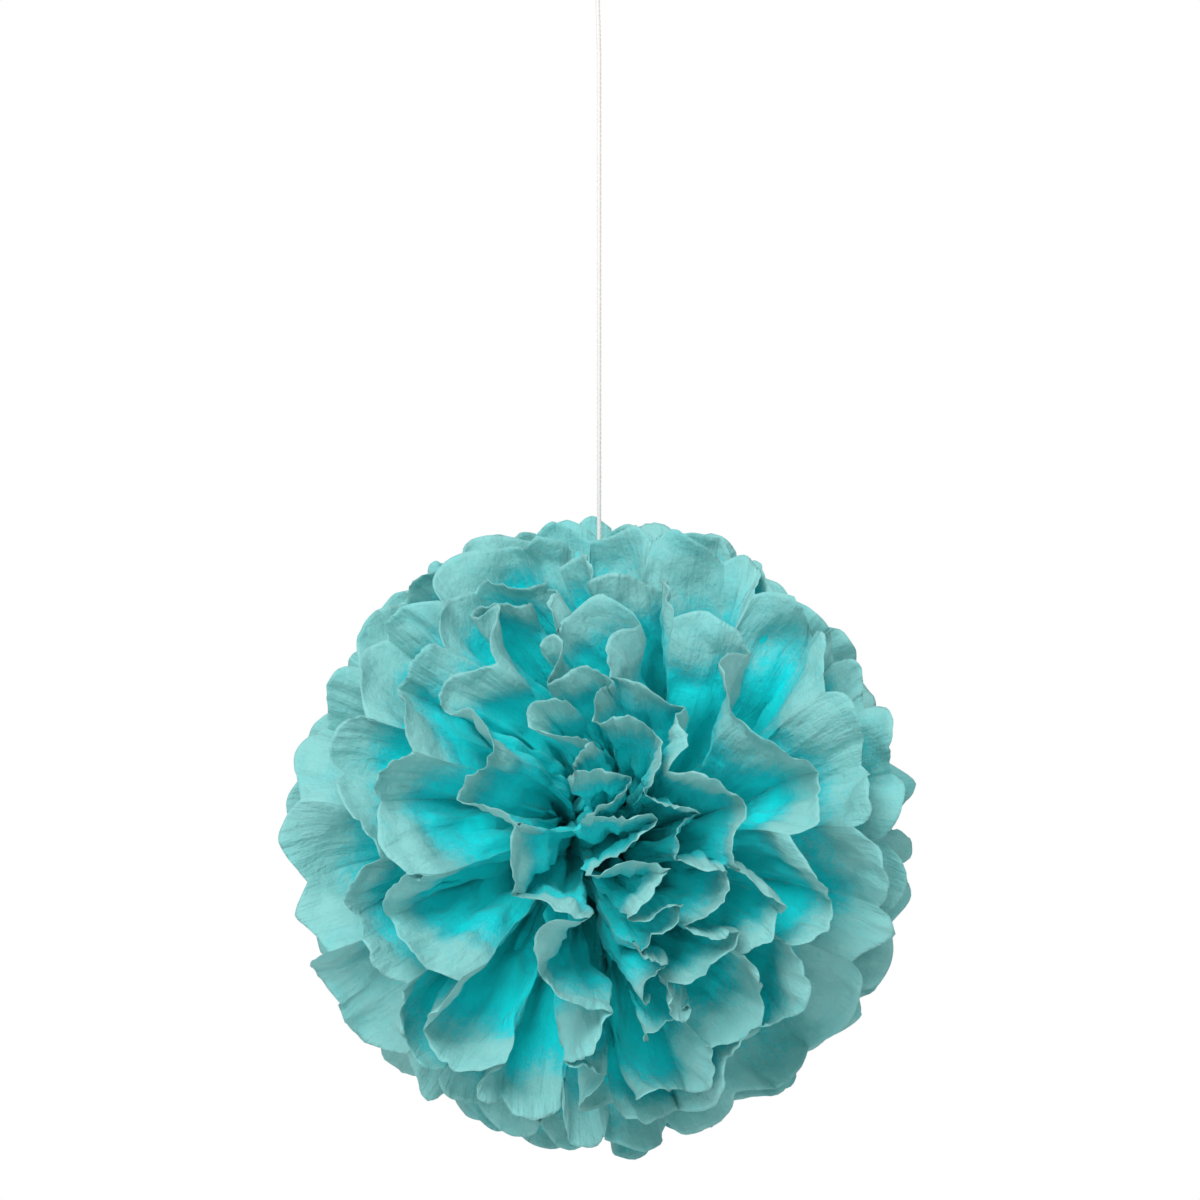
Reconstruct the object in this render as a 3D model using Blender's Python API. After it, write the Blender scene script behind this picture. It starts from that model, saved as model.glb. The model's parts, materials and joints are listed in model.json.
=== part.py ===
"""Tissue paper pom pom on its hanging cord.

A stack of tissue sheets is pleated together into one strip and tied round its middle.
The two ends of the strip are rounded off, and each sheet is then pulled open on both
sides of the tie: the first sheets towards the front, the last ones towards the back.
Every sheet is one thin solid, from the scallops of its left fan, through the tie, to the
scallops of its right fan.

Metres, +Z up. The origin is where a hook bears in the loop at the top of the cord.
The flower's heart faces -Y.
"""

import bisect
import math
import random

import bmesh
import bpy
from mathutils import Matrix, Vector

# The ball and the sheets that it is folded from
BALL_RADIUS = 0.203
BALL_DROP = 0.575
SHEET_COUNT = 10
PLEAT_COUNT = 13
PLEAT_WIDTH = 0.048
SCALLOP_DEPTH = 0.012
SCALLOP_POWER = 2.3
PAPER = 0.0005
TINY = 0.0005
TURN_STEP = math.radians(1.1)

# How the sheets open
FAN_HALF_ANGLE = math.radians(89.5)
MIDDLE_POWER = 1.25
EDGE_POWER = 0.4
SLOT_HALF = 0.0015
CROWD_SHARE = 0.30
CROWD_WAVE = 2.1
ROOM_SHARE = 0.95
PHASE_SHARE = 0.22
FOLD_STEEPEST = 1.6
THICKEST = 3.4
FLATTEST_SHARE = 0.28
END_SHARE = 0.3

# Distances from the waist: where the strip starts to fan out, where it has its full
# direction, where the folds start and where they have their full height
FAN_START = 0.008
FAN_FULL = 0.085
FOLD_START = 0.012
FOLD_FULL = 0.055
STATIONS = (FAN_START, 0.014, 0.025, 0.046, 0.082, 0.130)

# How far the petals differ from one another
TIP_SPREAD = 0.010
LEAN_SPREAD = 0.10
TURN_SPREAD = 0.10
BUNCHING = 0.65
BUNCHED_SHARE = 0.4
WIDE_CHORD = 0.19
LOOSE_START = 0.080
PETAL_DRIFT = 0.0035
RIM_STEPS = 48
SEED = 22

# The slow bend of the whole ball
BEND = 0.008
BEND_WAVE = 0.34
HEART_SHIFT = 0.010
HEART_SPREAD = 0.095
MEANDER = 0.018
MEANDER_WAVE = 0.38
MEANDER_DEPTH = 0.050
HEART_TWIST = math.radians(18)
HEART_BIAS = 0.20
CORD_CALM = 0.030

# The waist, its wire and its cord
SHEET_PITCH = 0.0010
WAIST_HALF_HEIGHT = 0.0080
FIT_GAP = 0.0003
WIRE_RADIUS = 0.0005
WIRE_PLACE = -0.0046
WIRE_TAIL = 0.013
WIRE_TWISTS = 2.5
CORD_RADIUS = 0.0013
KNOT_RADIUS = 0.0033
KNOT_TURNS = 3
LOOP_LENGTH = 0.036
LOOP_WIDTH = 0.015
TAG_LENGTH = 0.010
TAG_LEAN = 0.3

TISSUE_COLOUR = (0.20, 0.60, 0.61, 1.0)
CORD_COLOUR = (0.88, 0.87, 0.84, 1.0)
WIRE_COLOUR = (0.12, 0.34, 0.22, 1.0)

BALL_CENTRE = Vector((0.0, 0.0, -BALL_DROP))
WAIST_HALF_DEPTH = SHEET_PITCH * SHEET_COUNT / 2
SIDES = (-1, 1)


def smooth(share):
    """An even step from 0 to 1."""
    share = min(1.0, max(0.0, share))
    return share * share * (3 - 2 * share)


def opening(stand, turn, side):
    """The angle from the front pole at which a sheet stands, at this turn of its fan.

    The rims are nested ovals: a sheet near a pole is narrow from side to side, and
    reaches further up and down. The sheets crowd together in some places and leave wide
    gaps in others."""
    crowd = math.sin(CROWD_WAVE * stand + 1.3 * side + 1.1 * math.sin(1.6 * turn + side))
    calm = smooth(stand / 1.5) * smooth((SHEET_COUNT - 1 - stand) / 1.5)
    share = 2 * (stand + 0.5 + CROWD_SHARE * crowd * calm) / SHEET_COUNT
    share = min(1.98, max(0.02, share))
    nearer = min(share, 2 - share)
    quarter = math.pi / 2
    middle = quarter * nearer ** MIDDLE_POWER
    edge = quarter * nearer ** EDGE_POWER
    angle = 1 / math.hypot(math.cos(turn) / middle, math.sin(turn) / edge)
    return angle if share <= 1 else math.pi - angle


def rim_lengths(stand, side):
    """The length of a fan's rim from its bottom to each of many even turns, on a ball of
    radius 1."""
    total = 0.0
    lengths = [total]
    for i in range(RIM_STEPS):
        a = FAN_HALF_ANGLE * (2 * i / RIM_STEPS - 1)
        b = FAN_HALF_ANGLE * (2 * (i + 1) / RIM_STEPS - 1)
        slope = (opening(stand, b, side) - opening(stand, a, side)) / (b - a)
        total += math.hypot(slope, math.sin(opening(stand, (a + b) / 2, side))) * (b - a)
        lengths.append(total)
    return lengths


def bent(point):
    """The whole ball's slow bend. It keeps each point's distance from the waist, and it
    leaves the cord's line alone."""
    reach = point.length
    if reach < FAN_START:
        return point
    calm = 1 - math.exp(-(point.x ** 2 + point.y ** 2) / CORD_CALM ** 2)
    twist = HEART_TWIST * point.y / reach * smooth((reach - FAN_START) / BALL_RADIUS)
    point = Matrix.Rotation(twist, 3, "Y") @ point
    wave = 2 * math.pi / BEND_WAVE
    heart = (point - Vector((0, -reach, 0))).length / (HEART_SPREAD * reach / BALL_RADIUS)
    sway = MEANDER * math.cos(2 * math.pi * point.z / MEANDER_WAVE)
    sway *= math.copysign(1 - math.exp(-(point.y / MEANDER_DEPTH) ** 2), -point.y)
    push = Vector((
        BEND * math.sin(wave * (1.1 * point.y + 0.7 * point.z) + 0.6)
        + HEART_SHIFT * math.exp(-0.5 * heart * heart) + sway,
        BEND * math.sin(wave * (0.9 * point.x + 1.0 * point.z) + 1.9),
        BEND * math.sin(wave * (1.0 * point.x - 0.8 * point.y) + 4.4),
    ))
    push *= calm * smooth((reach - FAN_START) / (0.8 * BALL_RADIUS))
    return (point + push).normalized() * reach


def fanned(reach):
    """How much of its full direction a rib has at this distance from the waist. It turns
    evenly from each distance to its double, so it never bends back on itself."""
    if reach <= FAN_START:
        return 0.0
    return smooth(math.log(reach / FAN_START) / math.log(FAN_FULL / FAN_START))


class Fan:
    """One half of a sheet: the pleats on one side of the tie."""

    def __init__(self, sheet, side):
        self.sheet = sheet
        self.side = side
        before, behind = sheet, SHEET_COUNT - 1 - sheet
        bias = HEART_BIAS * side * (math.exp(-before) - math.exp(-behind))
        self.stand = sheet + bias
        self.lengths = rim_lengths(self.stand, side)
        self.chord = self.lengths[-1] / PLEAT_COUNT
        self.slips = {}
        for other in (sheet - 1, sheet + 1):
            if 0 <= other < SHEET_COUNT:
                lengths = rim_lengths(other, side)
                self.slips[other] = [PLEAT_COUNT * abs(a / lengths[-1] - b / self.lengths[-1])
                                     for a, b in zip(lengths, self.lengths)]
        chance = random.Random(SEED * 1000 + sheet * 10 + side)
        ribs = PLEAT_COUNT + 1
        self.width = min(1.0, (self.chord / WIDE_CHORD) ** 2)
        self.turns = [self.width * (chance.uniform(-TURN_SPREAD, TURN_SPREAD) + self.bunched(rib))
                      for rib in range(ribs)]
        self.turns[0] = self.turns[-1] = 0.0
        gaps = [1 + after - before for before, after in zip(self.turns, self.turns[1:])]
        self.rooms = [min(1.0, before, after) for before, after in
                      zip(gaps[:1] + gaps, gaps + gaps[-1:])]
        self.leans = [chance.uniform(-LEAN_SPREAD, LEAN_SPREAD) * room * math.sqrt(self.width)
                      for room in self.rooms]
        self.tips = [chance.uniform(-TIP_SPREAD, 0) for _ in range(ribs)]
        self.depth = SHEET_PITCH * (sheet - (SHEET_COUNT - 1) / 2) - PAPER / 2
        across = (abs(self.depth + PAPER / 2) + PAPER / 2) / WAIST_HALF_DEPTH
        self.half_height = WAIST_HALF_HEIGHT * math.sqrt(1 - across * across)

    def bunched(self, rib):
        """How far this rib has slid along the fan: the pleats lie close together in some
        places and wide open in others, and neighbouring sheets do so alike."""
        along = 2 * math.pi * rib / PLEAT_COUNT
        slow = 0.5 * self.sheet + 1.7 * self.side
        room = min(1 - self.chord * BALL_RADIUS / PLEAT_WIDTH, BUNCHED_SHARE)
        return BUNCHING * room * PLEAT_COUNT / 6 * (
            math.sin(along + slow) - math.sin(slow)) * (1 - math.cos(along)) / 2

    def between(self, values, rib):
        """A value between two ribs."""
        low = min(int(rib), PLEAT_COUNT - 1)
        share = rib - low
        return values[low] * (1 - share) + values[low + 1] * share

    def turn(self, place):
        """The turn at which a rib stands: the pleats are even along the rim."""
        wanted = place * self.chord
        step = min(max(bisect.bisect(self.lengths, wanted) - 1, 0), RIM_STEPS - 1)
        low, high = self.lengths[step], self.lengths[step + 1]
        step += (wanted - low) / (high - low)
        return FAN_HALF_ANGLE * (2 * step / RIM_STEPS - 1)

    def slip(self, other, turn):
        """How many pleats this sheet's folds are out of step with another sheet's."""
        step = min(RIM_STEPS * (turn / FAN_HALF_ANGLE + 1) / 2, RIM_STEPS - 1e-6)
        low = max(int(step), 0)
        share = step - low
        return self.slips[other][low] * (1 - share) + self.slips[other][low + 1] * share

    def fold_height(self, rib, reach, turn, slant):
        """Half the height from fold to fold, as an angle seen from the waist: each panel
        keeps its width, as far as the next sheets leave room."""
        chord = self.chord * reach
        height = math.sqrt(max(PLEAT_WIDTH ** 2 - chord ** 2,
                               (FLATTEST_SHARE * PLEAT_WIDTH) ** 2))
        height = min(height, FOLD_STEEPEST * chord * self.between(self.rooms, rib))
        ramp = smooth((reach - FOLD_START) / (FOLD_FULL - FOLD_START))
        loose_end = smooth(END_SHARE + min(rib, PLEAT_COUNT - rib))
        free = 0.5 * height / reach * ramp * loose_end
        here = opening(self.stand, turn, self.side)
        for other in self.slips:
            gap = abs(opening(other, turn, self.side) - here) * slant
            room = ROOM_SHARE * gap / (2 * min(self.slip(other, turn) + PHASE_SHARE, 1))
            free = free * room / (free ** 4 + room ** 4) ** 0.25
        return free

    def drift(self, rib, reach):
        """A slow wander of the whole fan from its even opening, as a distance."""
        around = 2 * math.pi * rib / PLEAT_COUNT
        share = reach / BALL_RADIUS
        start = 0.5 * self.sheet + 1.1 * self.side
        wave = (math.sin(2 * around + start + 3 * share)
                + 0.7 * math.sin(3 * around + 2.3 * start - 5 * share)
                + 0.5 * math.sin(5 * around + 1.7 * start + 6 * share))
        return PETAL_DRIFT * wave * smooth((share - 0.3) / 0.6)

    def place(self, rib, reach):
        """A point on the paper. rib counts the folds from the bottom of the fan, and reach
        is the distance from the waist."""
        loose = smooth((reach - LOOSE_START) / (BALL_RADIUS - LOOSE_START))
        turn = self.turn(rib + loose * self.between(self.turns, rib))
        low = min(int(rib), PLEAT_COUNT - 1)
        fold = (1 if low % 2 else -1) * (1 - 2 * (rib - low))
        height = self.half_height * (2 * rib / PLEAT_COUNT - 1)
        stack = Vector((0, self.depth, height))
        if reach <= FAN_START:
            return BALL_CENTRE + stack + Vector((self.side * reach, 0, 0))
        stand = self.stand + loose * self.between(self.leans, rib)
        angle = opening(stand, turn, self.side)
        slope = (opening(stand, turn + TURN_STEP, self.side)
                 - opening(stand, turn - TURN_STEP, self.side)) / (2 * TURN_STEP)
        sin_a, cos_a, sin_t, cos_t = (math.sin(angle), math.cos(angle),
                                      math.sin(turn), math.cos(turn))
        out = Vector((cos_t * sin_a, -cos_a, sin_t * sin_a))
        square = sin_a * Vector((cos_t * cos_a, sin_a, sin_t * cos_a))
        square -= slope * Vector((-sin_t, 0, cos_t))
        slant = sin_a / math.hypot(sin_a, slope)
        lift = self.side * fold * self.fold_height(rib, reach, turn, slant)
        out += (lift + self.drift(rib, reach) / reach) * square.normalized()
        share = fanned(reach)
        out.normalize()
        place = ((1 - share) * Vector((1, 0, 0)) + share * out).normalized() * reach
        place.x = self.side * (place.x + share * SLOT_HALF)
        return BALL_CENTRE + bent(place) + (1 - share) * stack

    def thickness(self, rib, reach):
        """The way through the paper at a point, square to the panels beside it."""
        here = self.place(rib, reach)
        along = self.place(rib, reach + TINY) - here
        squares = []
        for other in (rib - 0.25, rib + 0.25):
            if 0 <= other <= PLEAT_COUNT:
                across = (self.place(other, reach) - here) * (rib - other)
                squares.append(self.side * along.cross(across).normalized())
        square = sum(squares, Vector()).normalized()
        return square * PAPER / max(square.dot(squares[0]), 1 / THICKEST)

    def sides(self, rib, reach):
        """The points on the front and the back of the paper."""
        here = self.place(rib, reach)
        return here, here + self.thickness(rib, reach)

    def rim_reach(self, rib):
        """How far the cut edge is from the waist: a round scallop on each pleat."""
        low = min(int(rib), PLEAT_COUNT - 1)
        across = abs(2 * (rib - low) - 1)
        notch = BALL_RADIUS - SCALLOP_DEPTH + self.between(self.tips, rib)
        return notch + SCALLOP_DEPTH * (1 - across ** SCALLOP_POWER)


def paper_row(mesh, fan, spots):
    """A row of points on the front of the paper, and one on its back."""
    pairs = [fan.sides(rib, reach) for rib, reach in spots]
    return [[mesh.verts.new(pair[back]) for pair in pairs] for back in (0, 1)]


def tissue_sheet(sheet):
    """One whole sheet, as a closed thin solid."""
    mesh = bmesh.new()
    ribs = range(PLEAT_COUNT + 1)
    waist = paper_row(mesh, Fan(sheet, 1), [(rib, 0.0) for rib in ribs])
    for side in SIDES:
        fan = Fan(sheet, side)
        rows = [waist]
        for reach in STATIONS:
            rows.append(paper_row(mesh, fan, [(rib, reach) for rib in ribs]))
        rim_ribs = [step / 4 for step in range(4 * PLEAT_COUNT + 1)]
        rim = paper_row(mesh, fan, [(rib, fan.rim_reach(rib)) for rib in rim_ribs])
        for inner, outer in zip(rows, rows[1:]):
            for back in (0, 1):
                for j in range(PLEAT_COUNT):
                    a, b = inner[back][j], inner[back][j + 1]
                    c, d = outer[back][j + 1], outer[back][j]
                    if 2 * j + 1 > PLEAT_COUNT:
                        a, b, c, d = b, c, d, a
                    mesh.faces.new((a, b, c))
                    mesh.faces.new((a, c, d))
            for j in (0, PLEAT_COUNT):
                mesh.faces.new((inner[0][j], outer[0][j], outer[1][j], inner[1][j]))
        last = rows[-1]
        for back in (0, 1):
            for j in range(PLEAT_COUNT):
                a, b = last[back][j], last[back][j + 1]
                edge = rim[back][4 * j:4 * j + 5]
                mesh.faces.new((a, edge[1], edge[0]))
                mesh.faces.new((a, edge[2], edge[1]))
                mesh.faces.new((a, b, edge[2]))
                mesh.faces.new((b, edge[3], edge[2]))
                mesh.faces.new((b, edge[4], edge[3]))
        for j, k in ((0, 0), (PLEAT_COUNT, 4 * PLEAT_COUNT)):
            mesh.faces.new((last[0][j], rim[0][k], rim[1][k], last[1][j]))
        for k in range(4 * PLEAT_COUNT):
            mesh.faces.new((rim[0][k], rim[0][k + 1], rim[1][k + 1], rim[1][k]))
    bmesh.ops.recalc_face_normals(mesh, faces=mesh.faces)
    bmesh.ops.triangulate(mesh, faces=mesh.faces)
    return finished(f"tissue_sheet_{sheet + 1:02d}", mesh, material("tissue", TISSUE_COLOUR, 0.85))


def material(name, colour, roughness, metallic=0.0):
    """A material of one colour."""
    found = bpy.data.materials.get(name)
    if found:
        return found
    made = bpy.data.materials.new(name)
    made.use_nodes = True
    shader = made.node_tree.nodes["Principled BSDF"]
    shader.inputs["Base Color"].default_value = colour
    shader.inputs["Roughness"].default_value = roughness
    shader.inputs["Metallic"].default_value = metallic
    return made


def finished(name, mesh, look):
    """An object from a bmesh."""
    data = bpy.data.meshes.new(name)
    mesh.to_mesh(data)
    mesh.free()
    data.materials.append(look)
    made = bpy.data.objects.new(name, data)
    bpy.context.scene.collection.objects.link(made)
    return made


def waist_ring(radius):
    """Points round the tied waist, from its underside, for a cord or wire of this radius."""
    across = WAIST_HALF_DEPTH + FIT_GAP + radius
    up = WAIST_HALF_HEIGHT + FIT_GAP + radius
    steps = 28
    return [Vector((0, across * math.sin(2 * math.pi * i / steps),
                    -up * math.cos(2 * math.pi * i / steps))) for i in range(steps)]


def tube(name, points, radius, look, closed=False, sides=2):
    """A round cord or wire along its centreline."""
    data = bpy.data.curves.new(name, "CURVE")
    data.dimensions = "3D"
    data.bevel_depth = radius
    data.bevel_resolution = sides
    data.use_fill_caps = not closed
    data.render_resolution_u = 0
    spline = data.splines.new("POLY")
    spline.points.add(len(points) - 1)
    for point, place in zip(spline.points, points):
        point.co = (*place, 1)
    spline.use_cyclic_u = closed
    data.materials.append(look)
    made = bpy.data.objects.new(name, data)
    bpy.context.scene.collection.objects.link(made)
    return made


def solid_tube(name, points, radius, look, closed=False):
    """A tube as a mesh, to be joined to another solid."""
    curve = tube(name + "_path", points, radius, look, closed)
    scene_as_seen = bpy.context.evaluated_depsgraph_get()
    data = bpy.data.meshes.new_from_object(curve.evaluated_get(scene_as_seen))
    bpy.data.objects.remove(curve)
    mesh = bmesh.new()
    mesh.from_mesh(data)
    bmesh.ops.remove_doubles(mesh, verts=mesh.verts, dist=1e-6)
    return finished(name, mesh, look)


def knot(name, foot, look):
    """A barrel knot, standing on a point: the turns of cord lie on one another."""
    mesh = bmesh.new()
    pitch = 2 * CORD_RADIUS
    core = KNOT_RADIUS - CORD_RADIUS
    outline = [(0, 0)]
    for turn in range(KNOT_TURNS):
        for step in range(7):
            angle = math.pi * (step / 6 - 0.5)
            if step or not turn:
                outline.append((core + CORD_RADIUS * math.cos(angle),
                                pitch * turn + CORD_RADIUS * (1 + math.sin(angle))))
    outline.append((0, pitch * KNOT_TURNS))
    edges = []
    verts = [mesh.verts.new((foot.x + r, foot.y, foot.z + z)) for r, z in outline]
    for a, b in zip(verts, verts[1:]):
        edges.append(mesh.edges.new((a, b)))
    bmesh.ops.spin(mesh, geom=edges, cent=foot, axis=(0, 0, 1), angle=2 * math.pi, steps=16)
    bmesh.ops.remove_doubles(mesh, verts=mesh.verts, dist=1e-6)
    bmesh.ops.recalc_face_normals(mesh, faces=mesh.faces)
    return finished(name, mesh, look)


def joined(body, other):
    """Joins a second solid to the first one."""
    union = body.modifiers.new("join", "BOOLEAN")
    union.operation = "UNION"
    union.solver = "EXACT"
    union.object = other
    other.hide_render = True
    other.hide_viewport = True
    return body


def waist_tie():
    """The wire round the middle of the strip, with its two ends twisted together below."""
    radius = WIRE_RADIUS
    side = Vector((WIRE_PLACE, 0, 0))
    ring = waist_ring(radius)
    strand = radius + FIT_GAP / 2
    steps = 18
    top = ring[0].z - 2 * strand

    def tail(phase):
        places = []
        for i in range(steps + 1):
            angle = 2 * math.pi * WIRE_TWISTS * i / steps + phase
            places.append(Vector((strand * math.sin(angle), strand * math.cos(angle),
                                  top - WIRE_TAIL * i / steps)))
        return places

    route = list(reversed(tail(0.0))) + ring[1:] + tail(math.pi)
    places = [BALL_CENTRE + side + place for place in route]
    return tube("waist_tie", places, radius, material("tie_wire", WIRE_COLOUR, 0.45, 0.6), sides=1)


def waist_hitch():
    """The turn of cord round the waist, closed by a knot from which the cord rises."""
    look = material("cord", CORD_COLOUR, 0.7)
    ring = [BALL_CENTRE + place for place in waist_ring(CORD_RADIUS)]
    turn = solid_tube("hitch_turn", ring, CORD_RADIUS, look, closed=True)
    foot = BALL_CENTRE + Vector((0, 0, WAIST_HALF_HEIGHT + 2 * FIT_GAP))
    return joined(knot("waist_hitch", foot, look), turn)


def hitch_top():
    """The height at which the cord leaves the hitch."""
    return BALL_CENTRE.z + WAIST_HALF_HEIGHT + 2 * FIT_GAP + 2 * CORD_RADIUS * KNOT_TURNS


def loop_foot():
    """The height of the foot of the loop's knot."""
    return -LOOP_LENGTH - 2 * CORD_RADIUS * KNOT_TURNS


def hanging_cord():
    """The cord, straight under the ball's weight from the loop's knot to the hitch."""
    low = hitch_top() + FIT_GAP
    high = loop_foot() - FIT_GAP
    steps = 12
    places = [Vector((0, 0, low + (high - low) * i / steps)) for i in range(steps + 1)]
    return tube("hanging_cord", places, CORD_RADIUS, material("cord", CORD_COLOUR, 0.7))


def hanging_loop():
    """The loop that goes on a hook, its knot, and the short end left below the knot."""
    look = material("cord", CORD_COLOUR, 0.7)
    top = CORD_RADIUS
    inside = -LOOP_LENGTH - CORD_RADIUS
    steps = 24
    places = []
    for i in range(steps + 1):
        angle = 2 * math.pi * i / steps
        rise = (1 - math.cos(angle)) / 2
        across = LOOP_WIDTH / 2 * math.sin(angle) * math.sqrt(rise) * 1.3
        start = CORD_RADIUS * math.copysign(1 - rise, math.pi - angle)
        places.append(Vector((across + start, 0, inside + (top - inside) * rise)))
    loop = solid_tube("loop_turn", places, CORD_RADIUS, look)
    foot = Vector((0, 0, loop_foot()))
    start = foot + Vector((2 * CORD_RADIUS + FIT_GAP, 0, CORD_RADIUS))
    down = Vector((TAG_LEAN, 0, -1)).normalized() * TAG_LENGTH
    tag = solid_tube("loop_tag", [start, start + down], CORD_RADIUS, look)
    return joined(joined(knot("hanging_loop", foot, look), loop), tag)


def main():
    for old in list(bpy.data.objects):
        bpy.data.objects.remove(old)
    for sheet in range(SHEET_COUNT):
        tissue_sheet(sheet)
    waist_tie()
    waist_hitch()
    hanging_cord()
    hanging_loop()


main()
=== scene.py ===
"""Looks of a tissue paper pom pom: a ball of opened tissue sheets on a thin hanging cord.

Each sheet is modelled as one piece of tissue, from the scallops of its left fan, through
the tie at the waist, to the scallops of its right fan. It is pleated across, pulled open
round the ball, gathered towards the tie, and crumpled. Metres, +Z up, the heart of the
flower faces -Y, and the origin is where a hook bears in the loop at the cord's top.
"""

import json
import math
import random

import bmesh
import bpy
import numpy as np
from bpy.props import FloatProperty, FloatVectorProperty, IntProperty, PointerProperty
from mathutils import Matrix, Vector
from mathutils.bvhtree import BVHTree

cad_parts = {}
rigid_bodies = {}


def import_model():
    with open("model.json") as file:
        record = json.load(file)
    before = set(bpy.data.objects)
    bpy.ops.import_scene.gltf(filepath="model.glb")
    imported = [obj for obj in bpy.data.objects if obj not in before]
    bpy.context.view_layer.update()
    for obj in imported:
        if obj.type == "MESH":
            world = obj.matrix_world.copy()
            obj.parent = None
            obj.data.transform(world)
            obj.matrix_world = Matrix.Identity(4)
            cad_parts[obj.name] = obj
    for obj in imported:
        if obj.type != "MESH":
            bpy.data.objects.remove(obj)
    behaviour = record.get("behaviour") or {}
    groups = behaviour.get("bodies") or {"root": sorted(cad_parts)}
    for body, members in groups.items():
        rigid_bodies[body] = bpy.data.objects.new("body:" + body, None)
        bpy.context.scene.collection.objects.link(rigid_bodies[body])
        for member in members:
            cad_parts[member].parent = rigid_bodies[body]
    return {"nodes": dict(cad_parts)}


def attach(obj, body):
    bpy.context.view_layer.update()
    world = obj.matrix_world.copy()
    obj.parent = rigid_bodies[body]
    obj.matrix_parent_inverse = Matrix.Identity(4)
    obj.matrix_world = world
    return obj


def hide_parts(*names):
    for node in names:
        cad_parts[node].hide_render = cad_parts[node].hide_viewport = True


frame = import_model()

bl_info = {
    "name": "Tissue Pom Pom",
    "version": (1, 0, 0),
    "blender": (4, 5, 0),
    "location": "3D View > Sidebar > Pom Pom",
    "description": "Builds the looks of a tissue paper pom pom on its cord",
    "category": "Object",
}

SHEETS = sorted(name for name in frame["nodes"] if name.startswith("tissue_sheet"))
SHEET_COUNT = len(SHEETS)
SIDES = (-1, 1)

# The pleats, the same as the solids'
PLEAT_COUNT = 13
SCALLOP_DEPTH = 0.012
FAN_HALF_ANGLE = math.radians(89.5)
MIDDLE_POWER = 1.25
EDGE_POWER = 0.40
SLOT_HALF = 0.0015
FAN_START = 0.008
FAN_FULL = 0.085
FOLD_START = 0.012
FOLD_FULL = 0.055
ROOM_SHARE = 0.95
PHASE_SHARE = 0.22
CROWD_SHARE = 0.30
CROWD_WAVE = 2.1
FLATTEST_SHARE = 0.28
END_SHARE = 0.3
TIP_SPREAD = 0.010
LEAN_SPREAD = 0.10
TURN_SPREAD = 0.10
BUNCHING = 0.65
BUNCHED_SHARE = 0.4
WIDE_CHORD = 0.19
LOOSE_START = 0.080
RIM_STEPS = 48
TURN_STEP = math.radians(1.1)
SEED = 22

# The scene's own finer paper
SCALLOP_POWERS = (1.25, 1.7, 2.1, 2.5, 2.9, 3.4)
ROW_CROWDING = 0.8
EVENING_PASSES = 6

# The crumple: broad dents, facets with sharp edges, and gathers along the petals
DENT_SHARE = 0.8
FACET_SCALE = 1.3
GATHER_SHARE = 1.9
GATHER_SCALE = 3.6
GATHER_LENGTHS = 4.0

# How the open air in front of the paper is measured
RAY_COUNT = 40
RAY_REACH = 0.13
RAY_SPACING = 3

# The stage
LAMP_SIZE = 1.8
LAMP_PLACE = (-0.7, -2.3, 1.1)
FLOOR_RADIUS = 1.5

# The slow bend of the whole ball
BEND = 0.008
BEND_WAVE = 0.34
HEART_SHIFT = 0.010
HEART_SPREAD = 0.095
MEANDER = 0.018
MEANDER_WAVE = 0.38
MEANDER_DEPTH = 0.050
HEART_TWIST = math.radians(18)
HEART_BIAS = 0.20
CORD_CALM = 0.030

# The waist
SHEET_PITCH = 0.0010
WAIST_HALF_HEIGHT = 0.0080
WAIST_HALF_DEPTH = SHEET_PITCH * SHEET_COUNT / 2
FIT_GAP = 0.0003
KNOT_TURNS = 3

# The cord: points along its straight run, its loop, a turn of the knot, a ring and the
# short end, and the number of its strands
RUN_STEPS = 12
LOOP_STEPS = 24
KNOT_STEPS = 16
RING_POINTS = 15
STRANDS = 3
TAG_STEPS = 7


def smooth(share):
    """An even step from 0 to 1, for numbers or arrays."""
    share = np.clip(share, 0.0, 1.0)
    return share * share * (3 - 2 * share)


def opening(stand, turn, side):
    """The angle from the front pole at which a sheet stands at this turn of its fan: the
    rims are nested ovals, narrow from side to side near the poles. Sheets crowd together
    in some places and leave wide gaps in others."""
    crowd = np.sin(CROWD_WAVE * stand + 1.3 * side + 1.1 * np.sin(1.6 * turn + side))
    calm = smooth(stand / 1.5) * smooth((SHEET_COUNT - 1 - stand) / 1.5)
    share = 2 * (stand + 0.5 + CROWD_SHARE * crowd * calm) / SHEET_COUNT
    share = np.clip(share, 0.02, 1.98)
    nearer = np.minimum(share, 2 - share)
    middle = math.pi / 2 * nearer ** MIDDLE_POWER
    edge = math.pi / 2 * nearer ** EDGE_POWER
    angle = 1 / np.hypot(np.cos(turn) / middle, np.sin(turn) / edge)
    return np.where(share <= 1, angle, math.pi - angle)


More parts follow.
